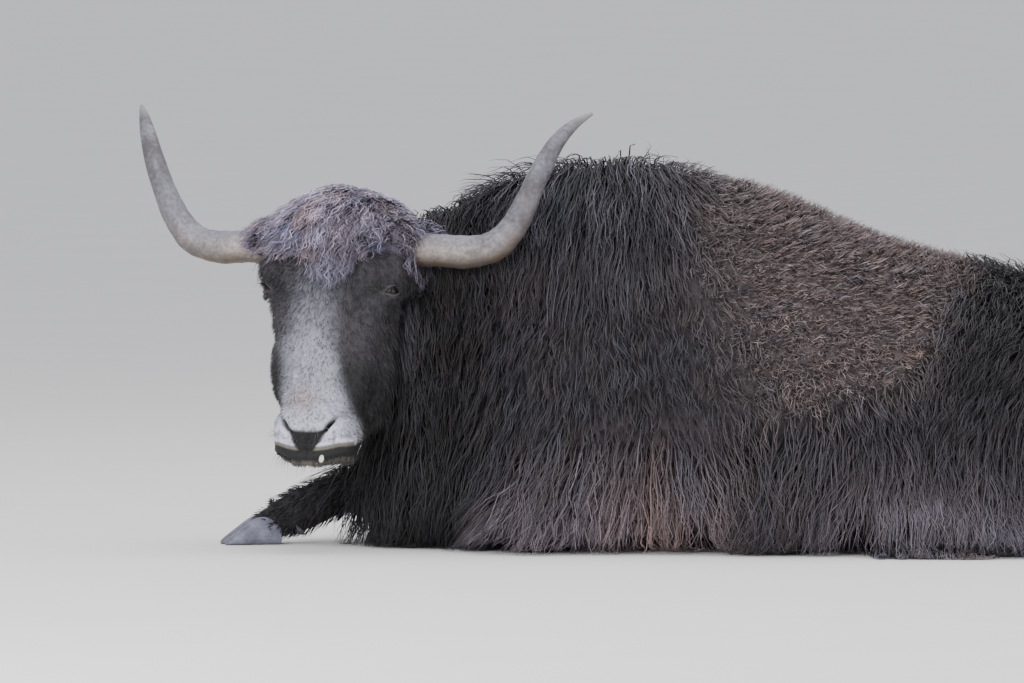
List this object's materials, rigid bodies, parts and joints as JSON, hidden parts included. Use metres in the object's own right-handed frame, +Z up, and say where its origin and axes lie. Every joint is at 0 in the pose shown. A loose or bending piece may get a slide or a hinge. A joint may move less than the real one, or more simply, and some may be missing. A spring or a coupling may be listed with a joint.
{
  "type": "yak, a resting domestic yak as a still life-size model",
  "caption": "Life-size still model of a long-haired yak lying on its chest, head raised and turned to the side, one foreleg stretched forward.",
  "frame": {"origin": "on the floor, under the middle of the barrel, at the flat underside of the trunk", "axes": "+X along the body towards the rump, -Y the side that the face is turned to, the animal's left, +Z up"},
  "size_m": [2.036, 0.9396, 0.8052],
  "materials": {
    "chin_hair": "short dark hair with a pale fringe on the chin",
    "coat": "long, shaggy black-brown hair, browner and woolly on the flank",
    "ear_hair": "short dark hair, longer in the cup",
    "eye": "moist, nearly black eye",
    "face_hair": "short grey-black hair with a curly grey-brown forelock",
    "hoof": "slate-grey hoof horn",
    "horn": "grey-white horn, mottled blue-grey, with a pale tip",
    "leg_hair": "short dark hair",
    "muzzle_skin": "short whitish-grey hair round a dark, moist nose pad",
    "tooth": "ivory enamel"
  },
  "bodies": {
    "root": {"cannon_fore_left": "leg_hair", "cannon_fore_right": "leg_hair", "cannon_hind_left": "leg_hair", "cannon_hind_right": "leg_hair", "dewclaw_fore_left_a": "hoof", "dewclaw_fore_left_b": "hoof", "dewclaw_fore_right_a": "hoof", "dewclaw_fore_right_b": "hoof", "dewclaw_hind_left_a": "hoof", "dewclaw_hind_left_b": "hoof", "dewclaw_hind_right_a": "hoof", "dewclaw_hind_right_b": "hoof", "ear_left": "ear_hair", "ear_right": "ear_hair", "eye_left": "eye", "eye_right": "eye", "forearm_left": "leg_hair", "forearm_right": "leg_hair", "head": "face_hair", "hoof_fore_left_a": "hoof", "hoof_fore_left_b": "hoof", "hoof_fore_right_a": "hoof", "hoof_fore_right_b": "hoof", "hoof_hind_left_a": "hoof", "hoof_hind_left_b": "hoof", "hoof_hind_right_a": "hoof", "hoof_hind_right_b": "hoof", "horn_left": "horn", "horn_right": "horn", "incisor": "tooth", "lower_jaw": "chin_hair", "muzzle": "muzzle_skin", "neck": "coat", "shank_left": "leg_hair", "shank_right": "leg_hair", "tail": "coat", "torso_front": "coat", "torso_middle": "coat", "torso_rear": "coat"}
  },
  "joints": []
}
